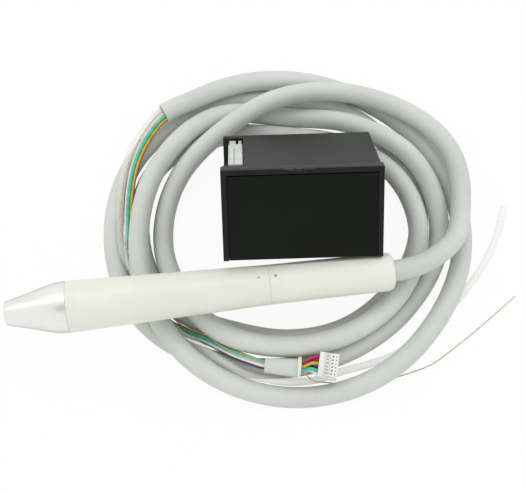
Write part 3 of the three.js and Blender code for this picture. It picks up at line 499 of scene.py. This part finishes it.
waterTube = {
    "diameter": 3, "rings": 6, "perSpan": 6, "pitch": 1.6, "passes": 2, "alpha": 0.33,
    "route": [
        (-38.8, 57.6, 12.3), (-41.7, 55.8, 12.2), (-45.1, 52.6, 11.3), (-49.5, 47.1, 10.1),
        (-53.6, 39.6, 9.3), (-56.2, 30, 9), (-57.2, 20, 8.6), (-57.2, 10, 8.1), (-56.6, 2, 7.8),
        (-55.2, -6, 7.9), (-50.6, -14.2, 6.7), (-46, -22, 6.3), (-41.8, -27.9, 6.3),
        (-37, -33.6, 6.6), (-31.2, -39.2, 7.3), (-24.5, -43.8, 8.3), (-18.8, -47.9, 8.9),
        (-12.9, -51.9, 9.15), (-6.5, -55.7, 9.8), (-1.4, -56.3, 7.9), (3.8, -57, 6.6),
        (10, -57.3, 5), (20.2, -55.9, 2.6), (29, -52.6, 1.7), (39.2, -49.8, 1.7), (49, -46.6, 1.7),
        (57.2, -41.6, 1.7), (65, -35, 1.7), (73, -27.3, 1.7), (79.8, -19.5, 1.7),
        (85.8, -11.6, 1.7), (90.6, -3.6, 1.7), (94.8, 5.7, 1.7), (98.1, 16.8, 1.7)],
}
tubeLook = {
    "low": (246, 247, 243), "high": (252, 252, 249), "rough": 0.3, "cloudScale": 120,
    "grainScale": 900, "grainDepth": 0.000002, "grainStrength": 0.06, "coat": 0.3,
    "coatRough": 0.25,
}
tanWire = {
    "diameter": 0.5, "rings": 3, "pitch": 1.4, "passes": 2, "joins": 13.5, "groovesPerStation": 2,
    "onTube": [
        (-37.7, 56.3, 14.5), (-40.8, 54.3, 14.5), (-43.8, 51.8, 14), (-48.3, 45.9, 12.5),
        (-52, 38.8, 11.6), (-54.8, 29.5, 11), (-56.2, 20, 10.8), (-56.5, 11.4, 10.1), (-56, 2, 9.7),
        (-53.1, -5.8, 9), (-48.4, -13.7, 6.3), (-43.9, -20.9, 5.9), (-39.9, -26.8, 6.1)],
    "grooveAngles": [60, 60, 60, 55, 45, 30, 15, 5, 0, 0, 0, 0, 0, 0, 0, 0, 0, -12],
    "grooveRadii": [
        2.2, 2.2, 2.2, 2.2, 2.2, 2.2, 2.2, 2.15, 2.05, 1.95, 1.85, 1.8, 1.78, 1.78, 1.78, 1.78,
        1.78, 2.2],
    "alone": [
        (18.6, -57.9, 9), (22.4, -57.6, 6), (27.4, -57.1, 2.4), (32.7, -57.2, 0.8),
        (43.5, -56.2, 0.4), (53.8, -53.4, 0.4), (64.4, -49.5, 0.4), (71.2, -44.9, 0.4),
        (84.8, -34.1, 0.4), (99.6, -21.3, 0.4)],
}
tanLook = {
    "low": (200, 168, 126), "high": (226, 197, 158), "rough": 0.45, "cloudScale": 400,
    "grainScale": 3000,
}


def routeFrames(points):
    up = Vector((0, 0, 1))
    frames = []
    for i, point in enumerate(points):
        along = (points[min(i + 1, len(points) - 1)] - points[max(i - 1, 0)]).normalized()
        side = along.cross(up).normalized()
        frames.append((point, side, side.cross(along).normalized()))
    return frames


def bundleFrames():
    turn = radians(wires["angle"])
    last = Vector(wires["route"][-1])
    route = wires["route"] + [last + Vector((cos(turn), sin(turn), 0)) * wires["entry"]]
    return routeFrames(smoothRoute(route, wires["perStation"]))


def besideBundle(frames, i, sideways, upwards):
    point, side, over = frames[i]
    return point + side * sideways + over * upwards


def ringAngle(i, degrees):
    return radians(degrees + valueAt(wires["turns"], i / wires["perStation"]))


def wireRoute(frames, index):  # on the bundle's ring, then fanned out into the connector's row
    row = (wires["ways"][index] - (len(wires["names"]) - 1) / 2) * wires["pitch"]
    fanLength = len(wires["route"]) - 1 - wires["fanStart"]
    points = []
    for i in range(len(frames)):
        angle = ringAngle(i, (index + 0.5) / len(wires["names"]) * 360)
        t = min(max((i / wires["perStation"] - wires["fanStart"]) / fanLength, 0), 1)
        spread = t * t * (3 - 2 * t)
        sideways = wires["ring"] * cos(angle) * (1 - spread) + row * spread
        upwards = wires["ring"] * sin(angle) * (1 - spread ** 3)
        points.append(besideBundle(frames, i, sideways, upwards))
    return points


def tanRoute(frames):  # on the tube, in the groove between two wires, then alone
    grooved = []
    perStation = wires["perStation"]
    stations = (len(tanWire["grooveRadii"]) - 1) / tanWire["groovesPerStation"]
    for k in range(int(stations * perStation) + 1):
        place = k / perStation * tanWire["groovesPerStation"]
        i = round(tanWire["joins"] * perStation) + k
        angle = ringAngle(i, valueAt(tanWire["grooveAngles"], place))
        radius = valueAt(tanWire["grooveRadii"], place)
        grooved.append(besideBundle(frames, i, radius * cos(angle), radius * sin(angle)))
    before = smoothRoute(tanWire["onTube"] + [grooved[0]], perStation)
    after = smoothRoute([grooved[-1]] + tanWire["alone"], perStation)
    return evenRoute(before + grooved[1:] + after[1:], tanWire["pitch"], tanWire["passes"])


def makeWires(frames):
    for i, name in enumerate(wires["names"]):
        look = {**wireLook, "low": wires["low"][i], "high": wires["high"][i]}
        finish = mouldedFinish("insulation" + name.capitalize(), look)
        route = wireRoute(frames, i)
        piece = tubeCurve("wire" + name.capitalize(), route, wires["diameter"] / 2, finish,
                          wires["rings"])
        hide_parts("wire_" + name)
        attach(piece, "set")
        round(routeLength(route) * mm, 3)


def makeWaterTube():
    finish = mouldedFinish("clearTube", tubeLook)
    finish.shader.inputs["Alpha"].default_value = waterTube["alpha"]
    smooth = smoothRoute(waterTube["route"], waterTube["perSpan"])
    route = evenRoute(smooth, waterTube["pitch"], waterTube["passes"])
    piece = tubeCurve("waterTube", route, waterTube["diameter"] / 2, finish, waterTube["rings"])
    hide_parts("water_tube")
    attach(piece, "set")
    round(routeLength(route) * mm, 3)


def makeTanWire(frames):
    finish = mouldedFinish("tanInsulation", tanLook)
    route = tanRoute(frames)
    piece = tubeCurve("wireTan", route, tanWire["diameter"] / 2, finish, tanWire["rings"])
    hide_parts("wire_tan")
    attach(piece, "set")
    round(routeLength(route) * mm, 3)


whiteLook = {"low": (226, 226, 218), "high": (240, 240, 234), "rough": 0.4, "cloudScale": 90,
             "grainDepth": 0.00001}
# the housing's grey colour is painted shade inside the latch slits and the contact holes
housing = {
    "start": (20.8, -53.1, 13.4), "length": 7.2, "edge": 0.22, "topRange": (2.1, 2.25),
    "slitShares": (0.24, 0.62), "slitHalf": 0.36, "slitWidth": 0.17, "slitSoftness": (0.6, 1.4),
    "slitStrength": 0.8, "dotShares": (0.7, 0.88), "dotRadii": (0.34, 0.24),
    "dotSoftness": (0.6, 1.2), "colour": (72, 72, 68),
}
sleeveEdge = 0.35
tieEdge = 0.15


def softMask(finish, away, reach, softness):  # 1 within the reach, 0 beyond it
    inner, outer = softness
    return 1 - finish.step(away, reach * inner, reach * outer)


def housingFinish():  # white, with painted shade for the thin slits of the latches and the small contact holes
    finish = mouldedFinish("connectorNylon", whiteLook)
    place = finish.placeAround(toWorld(housing["start"]), radians(wires["angle"]))
    along, across, lift = (finish.axis(place, letter) / mm for letter in "XYZ")
    halfPitch = wires["pitch"] / 2
    inWay = abs(finish.calc("PINGPONG", across, halfPitch) - halfPitch)
    start, end = (share * housing["length"] for share in housing["slitShares"])
    besideSlit = abs(inWay - housing["slitHalf"])
    pastSlit = abs(along - (start + end) / 2)
    slits = softMask(finish, besideSlit, housing["slitWidth"] / 2, housing["slitSoftness"])
    slits = slits * softMask(finish, pastSlit, (end - start) / 2, housing["slitSoftness"])
    slitAndHoleShade = slits * housing["slitStrength"]
    for share, radius in zip(housing["dotShares"], housing["dotRadii"]):
        pastDot = along - share * housing["length"]
        away = (pastDot * pastDot + inWay * inWay) ** 0.5
        slitAndHoleShade = slitAndHoleShade + softMask(finish, away, radius, housing["dotSoftness"])
    # the painted shade of the slits and holes, on the top face only
    finish.addColour(slitAndHoleShade.clipped() * finish.step(lift, *housing["topRange"]), housing["colour"])
    return finish


whiteFinish = mouldedFinish("whiteNylon", whiteLook)
connector = softened("wireConnector", "connector_housing", housingFinish(),
                     housing["edge"])
sleeve = softened("wireSleeve", "hose_sleeve", hoseFinish, sleeveEdge)
tie = softened("wireTie", "cable_tie", whiteFinish, tieEdge)
bundle = bundleFrames()
makeWires(bundle)
makeWaterTube()
makeTanWire(bundle)
print("wires made")


# handpiece

noseShape = {
    "flare": [
        (0.08, 0.09), (0.24, 0.27), (0.4, 0.45), (0.56, 0.65), (0.72, 0.85), (0.85, 0.95), (1, 1)],
    "perSpan": 5, "mouthRounding": 0.4, "mouthEdge": 0.12, "rearEdge": 0.06, "sealSeat": 8.9,
    # from the seal's seat over the spigot's bore and the cone to the light guide's bore
    "inside": [
        (21.8, 8.9), (21.8, 8), (17.5, 8), (17.5, 7.6), (15.8, 7.6), (5.1, 5), (5.1, 3.9),
        (0, 3.9)],
}
noseLook = {
    "low": (234, 235, 230), "high": (247, 247, 242), "edge": (199, 203, 197), "rough": 0.3,
    "lineScale": 9000, "lineDetail": 4.0, "lineBreakup": 0.7, "lineShare": 0.6, "lineRough": 0.08,
    "lineDepth": 0.000008, "lineStrength": 0.4, "cloudScale": 80, "cloudRough": 0.06,
    "toneRange": (0.3, 0.7),
}
ivoryLook = {"low": (229, 230, 216), "high": (238, 239, 228), "rough": 0.38, "cloudScale": 25,
             "grainScale": 2200, "grainDepth": 0.00001, "coat": 0.25, "coatRough": 0.25}


def turnedMetal(name, look):  # fine rings about the handpiece's axis, over a faint cloud
    finish = Finish(name, {"Metallic": 1.0, "Specular Tint": paint(*look["edge"])})
    station = finish.axis(finish.placeAround(noseSpot, handpieceTurn), "X")
    lines = finish.node("ShaderNodeTexNoise", {"noise_dimensions": "1D"},
                        {"W": station, "Scale": look["lineScale"], "Detail": look["lineDetail"],
                         "Roughness": look["lineBreakup"]})
    cloud = finish.noise(finish.place(), look["cloudScale"])
    streaks = lines * look["lineShare"] + cloud * (1 - look["lineShare"])
    tone = finish.step(streaks, *look["toneRange"])
    finish.feed("Base Color", finish.mix(tone, paint(*look["low"]), paint(*look["high"])))
    middle = (look["lineRough"] + look["cloudRough"]) / 2
    rough = lines * look["lineRough"] + cloud * look["cloudRough"] + (look["rough"] - middle)
    finish.feed("Roughness", rough.clipped())
    finish.feed("Normal", finish.bump(lines, look["lineDepth"], look["lineStrength"]))
    return finish


def makeNose():
    length = handpiece["noseLength"]
    mouth = handpiece["mouthRadius"]
    waist = handpiece["waistRadius"]
    rounding = noseShape["mouthRounding"]
    mouthEdge = noseShape["mouthEdge"]
    rearEdge = noseShape["rearEdge"]
    controls = [Vector((rounding, mouth, 0))]
    for along, out in noseShape["flare"]:
        controls.append(Vector((length * along, mouth + (waist - mouth) * out, 0)))
    outer = [(point.x, point.y) for point in smoothRoute(controls, noseShape["perSpan"])]
    outline = [(mouthEdge, mouth - mouthEdge)] + outer[:-1]
    outline += [(length - rearEdge, waist), (length, waist - rearEdge)]
    outline.append((length, noseShape["sealSeat"]))
    outline += noseShape["inside"] + [(0, mouth - rounding)]
    piece = turned("noseCone", outline, handpieceSpot, turnedMetal("turnedAluminium", noseLook))
    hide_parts("nose_cone")
    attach(piece, "nose")


# the small printed dots either side of the seam; the lift is in degrees from the top
dotSoftness = (0.75, 1.2)
bodyDot = {"station": 94.1, "lift": 4, "radius": 0.5, "colour": (182, 183, 175)}
tailDot = {"station": 100.4, "lift": 4, "radius": 0.6, "colour": (148, 149, 142)}


def ivoryShell(name, dot):
    finish = mouldedFinish(name, ivoryLook)
    lift = radians(dot["lift"])
    taper = (handpiece["waistRadius"] - handpiece["seamRadius"]) / handpiece["bodyLength"]
    shell = handpiece["seamRadius"] + max(0.0, seamStation - dot["station"]) * taper
    local = Vector((dot["station"], shell * sin(lift), shell * cos(lift))) * mm
    away = finish.node("ShaderNodeVectorMath", {"operation": "DISTANCE"},
                       {0: finish.place(), 1: handpieceSpot @ local}, output="Value")
    finish.addColour(softMask(finish, away, dot["radius"] * mm, dotSoftness), dot["colour"])
    return finish


shellShape = {
    "spigotLength": 5.4, "spigotRadius": 7.7, "boreRadius": 6.4, "shoulder": 0.05, "seamGap": 0.03,
    "easing": 0.03, "tailBore": 6.1, "tailEdge": 0.04, "tailRounding": 2.6, "roundingSteps": 10,
    "hoseHole": 4.25, "hoseHoleSetback": 0.1, "wallHole": 4.3,
}


def makeBodyShell():
    spigot = handpiece["noseLength"] - shellShape["spigotLength"]
    shoulder = handpiece["noseLength"] + shellShape["shoulder"]
    seam = seamStation - shellShape["seamGap"]
    corners = [(spigot, shellShape["boreRadius"]), (spigot, shellShape["spigotRadius"]),
               (shoulder, shellShape["spigotRadius"]), (shoulder, handpiece["waistRadius"]),
               (seam, handpiece["seamRadius"]), (seam, shellShape["boreRadius"])]
    outline = easedOutline(corners, shellShape["easing"])
    piece = turned("handpieceShell", outline, handpieceSpot, ivoryShell("ivoryBody", bodyDot))
    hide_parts("handpiece_shell")
    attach(piece, "handpiece")


def makeTailShell():
    rounding = shellShape["tailRounding"]
    edge = shellShape["tailEdge"]
    seam = seamStation + shellShape["seamGap"]
    wall = tailEnd - handpiece["tailWall"]
    corners = [(seam, shellShape["tailBore"]), (seam, handpiece["seamRadius"] - edge),
               (seam + edge, handpiece["seamRadius"])]
    for i in range(shellShape["roundingSteps"] + 1):
        turn = i / shellShape["roundingSteps"] * pi / 2
        corners.append((tailEnd - rounding + rounding * sin(turn),
                        handpiece["tailEndRadius"] - rounding * (1 - cos(turn))))
    corners += [(tailEnd - shellShape["hoseHoleSetback"], shellShape["hoseHole"]),
                (wall, shellShape["wallHole"]), (wall, shellShape["tailBore"])]
    piece = turned("tailShell", corners, handpieceSpot, ivoryShell("ivoryTail", tailDot))
    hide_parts("tail_shell")
    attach(piece, "set")


makeNose()
makeBodyShell()
makeTailShell()
print("handpiece made")


# control module

module = {"yaw": 1.9, "shellEdge": 0.35, "panelEdge": 0.25, "headerEdge": 0.12, "baseEdge": 0.15,
          "panelWider": 0.27, "sideShare": 0.9}
moduleYaw = radians(module["yaw"])
shellLook = {
    "low": (10, 13, 11), "high": (21, 25, 22), "rough": 0.46, "cloudScale": 110, "grainScale": 2400,
    "grainDepth": 0.00006, "roughSpread": 0.16, "specular": 0.15, "coat": 0.17, "coatRough": 0.22,
}
panelLook = {
    "low": (16, 19, 15), "high": (23, 26, 21), "rough": 0.32, "cloudScale": 30, "grainScale": 1200,
    "grainDepth": 0.000006, "grainStrength": 0.2, "specular": 0.1,
}
headerLook = {"low": (194, 198, 191), "high": (211, 215, 208), "rough": 0.4, "cloudScale": 200,
              "grainDepth": 0.00001}
# a rubbed spot on the bezel's upper edge, partly wear and partly a painted highlight
scuffAndHighlight = {
    "place": (35.9, 9, 57.8), "reach": 7.4, "width": 1.2, "fade": (0.3, 1.0), "speckScale": 1300,
    "speckRange": (0.38, 0.64), "colour": (82, 85, 79),
}


def addScuffAndHighlight(finish):  # the rubbed spot on the bezel's upper edge: wear, painted lighter as a highlight
    size = Vector((scuffAndHighlight["reach"], scuffAndHighlight["width"], scuffAndHighlight["width"])) * mm
    spot = finish.placeAround(Vector(scuffAndHighlight["place"]) * mm, moduleYaw, size)
    away = finish.node("ShaderNodeVectorMath", {"operation": "LENGTH"}, {0: spot}, output="Value")
    specks = finish.step(finish.noise(finish.place(), scuffAndHighlight["speckScale"]), *scuffAndHighlight["speckRange"])
    finish.addColour((1 - finish.step(away, *scuffAndHighlight["fade"])) * specks, scuffAndHighlight["colour"])


# both side edges moved outwards, so that no light shows beside the panel
def widened(piece, across, amount):
    reach = [vertex.co.dot(across) for vertex in piece.data.vertices]
    middle = (min(reach) + max(reach)) / 2
    side = (max(reach) - middle) * module["sideShare"]
    for vertex, place in zip(piece.data.vertices, reach):
        if abs(place - middle) > side:
            vertex.co += across * (amount if place > middle else -amount) * mm


shellFinish = mouldedFinish("grainedBlack", shellLook)
panelFinish = mouldedFinish("panelGloss", panelLook)
headerFinish = mouldedFinish("headerNylon", headerLook)
addScuffAndHighlight(shellFinish)
softened("moduleShell", "module_shell", shellFinish, module["shellEdge"])
modulePanel = softened("modulePanel", "front_panel", panelFinish, module["panelEdge"])
widened(modulePanel, Vector((cos(moduleYaw), sin(moduleYaw), 0)), module["panelWider"])
softened("moduleHeader", "power_header", headerFinish, module["headerEdge"],
         segments=2)
softened("moduleBase", "base_plate", shellFinish, module["baseEdge"], segments=2)
print("module made")


# finishes of the CAD nodes that stay

innerLooks = {
    "clear": {"low": (228, 230, 226), "high": (242, 243, 240), "rough": 0.2, "coat": 0.5},
    "board": {"low": (22, 78, 48), "high": (36, 100, 62), "rough": 0.4, "cloudScale": 400,
              "coat": 0.3},
    "white_plastic": whiteLook,
    "steel": {"low": (170, 172, 174), "high": (196, 198, 200), "rough": 0.3, "metal": 1.0,
              "cloudScale": 250},
    "ceramic": {"low": (132, 126, 112), "high": (154, 148, 134), "rough": 0.6, "cloudScale": 200},
    "contact_brass": {"low": (196, 158, 70), "high": (220, 184, 96), "rough": 0.28, "metal": 1.0,
                      "cloudScale": 300},
    "rubber": {"low": (34, 34, 34), "high": (46, 46, 46), "rough": 0.7, "cloudScale": 200},
    "ferrite": {"low": (50, 50, 52), "high": (66, 66, 68), "rough": 0.6, "cloudScale": 200},
    "copper": {"low": (168, 104, 62), "high": (196, 132, 84), "rough": 0.4, "metal": 0.8,
               "cloudScale": 500},
    "nose": {"low": (188, 191, 190), "high": (212, 215, 214), "rough": 0.35, "metal": 1.0,
             "cloudScale": 200},
}


def dressInnerNodes():
    slots = {part["node"]: part["material_slot"] for part in frame["record"]["subparts"]}
    made = {}
    for name, piece in frame["nodes"].items():
        slotName = slots[name]
        if slotName not in innerLooks:
            continue
        if slotName not in made:
            finishName = "inner" + slotName.title().replace("_", "")
            made[slotName] = mouldedFinish(finishName, innerLooks[slotName]).material
        for materialSlot in piece.material_slots:
            materialSlot.material = made[slotName]
        if not piece.material_slots:
            piece.data.materials.append(made[slotName])


dressInnerNodes()
print("inner pieces dressed")


# floor, lamps and world

white = (1, 1, 1, 1)
stage = {"size": 6.0, "bounce": (236, 236, 230), "patch": (224, 224, 218), "paperScale": 40,
         "paperRange": (0.3, 0.7), "rough": 0.9, "specular": 0.1, "glow": 0.93}
lamps = [
    {"name": "overhead", "place": (0.0, 0.3, 0.75), "aim": (0.02, 0.0, 0.0), "length": 1.5,
     "width": 0.28, "power": 1.3},
]
worldLight = {"front": 0.98, "back": 0.96, "frontEnd": -0.8, "backEnd": 0.9, "lift": 0.45,
              "dip": 0.5, "dipEdge": 0.9, "dipCore": 0.985}


def makeFloor():
    mesh = bmesh.new()
    bmesh.ops.create_grid(mesh, x_segments=1, y_segments=1, size=stage["size"] / 2)
    finish = Finish("floorPaper", {"Roughness": stage["rough"],
                                   "Specular IOR Level": stage["specular"]})
    paper = finish.step(finish.noise(finish.place(), stage["paperScale"]), *stage["paperRange"])
    bare = (finish.ray("Is Camera Ray") + finish.ray("Is Glossy Ray")
            + finish.ray("Is Transmission Ray")).clipped()
    tone = finish.mix(paper, paint(*stage["bounce"]), paint(*stage["patch"]))
    finish.feed("Base Color", finish.mix(bare, tone, white))
    body = Signal(finish, finish.shader.outputs[0])
    glow = finish.node("ShaderNodeEmission", values={"Color": white, "Strength": 1.0})
    mixed = finish.node("ShaderNodeMixShader", values={0: bare * stage["glow"], 1: body, 2: glow})
    finish.tree.links.new(mixed.socket, finish.tree.nodes["Material Output"].inputs["Surface"])
    floor = finished("floor", mesh, finish)


def makeLamps():
    for lamp in lamps:
        data = bpy.data.lights.new(lamp["name"], "AREA")
        data.shape = "RECTANGLE"
        data.size = lamp["length"]
        data.size_y = lamp["width"]
        data.energy = lamp["power"]
        holder = bpy.data.objects.new(lamp["name"], data)
        holder.location = lamp["place"]
        away = Vector(lamp["place"]) - Vector(lamp["aim"])
        holder.rotation_euler = away.to_track_quat("Z", "Y").to_euler()
        bpy.context.scene.collection.objects.link(holder)


# a pale studio, a little dimmer at the photograph's angle, where a camera takes light away
def makeWorld():
    world = bpy.data.worlds.new("studio")
    bpy.context.scene.world = world
    world.use_nodes = True
    nodes = NodeTree(world.node_tree)
    background = nodes.tree.nodes["Background"]
    background.inputs["Color"].default_value = white
    direction = nodes.node("ShaderNodeTexCoord", output="Generated")
    lean = nodes.axis(direction, "Z") * worldLight["lift"] + nodes.axis(direction, "Y")
    level = nodes.node("ShaderNodeMapRange", values={
        "Value": lean, "From Min": worldLight["frontEnd"], "From Max": worldLight["backEnd"],
        "To Min": worldLight["front"], "To Max": worldLight["back"]})
    near = nodes.node("ShaderNodeVectorMath", {"operation": "DOT_PRODUCT"},
                      {0: direction, 1: tuple(towardsCamera())}, output="Value")
    dip = nodes.node("ShaderNodeMapRange", {"interpolation_type": "SMOOTHSTEP"}, {
        "Value": near, "From Min": worldLight["dipEdge"], "From Max": worldLight["dipCore"],
        "To Min": 1.0, "To Max": 1.0 - worldLight["dip"]})
    seen = nodes.ray("Is Camera Ray")
    strength = nodes.node("ShaderNodeMix", values={0: seen, 2: level * dip, 3: 1.0})
    nodes.tree.links.new(strength.socket, background.inputs["Strength"])


makeFloor()
makeLamps()
makeWorld()
bpy.context.scene.view_settings.view_transform = "Standard"
print("stage set")
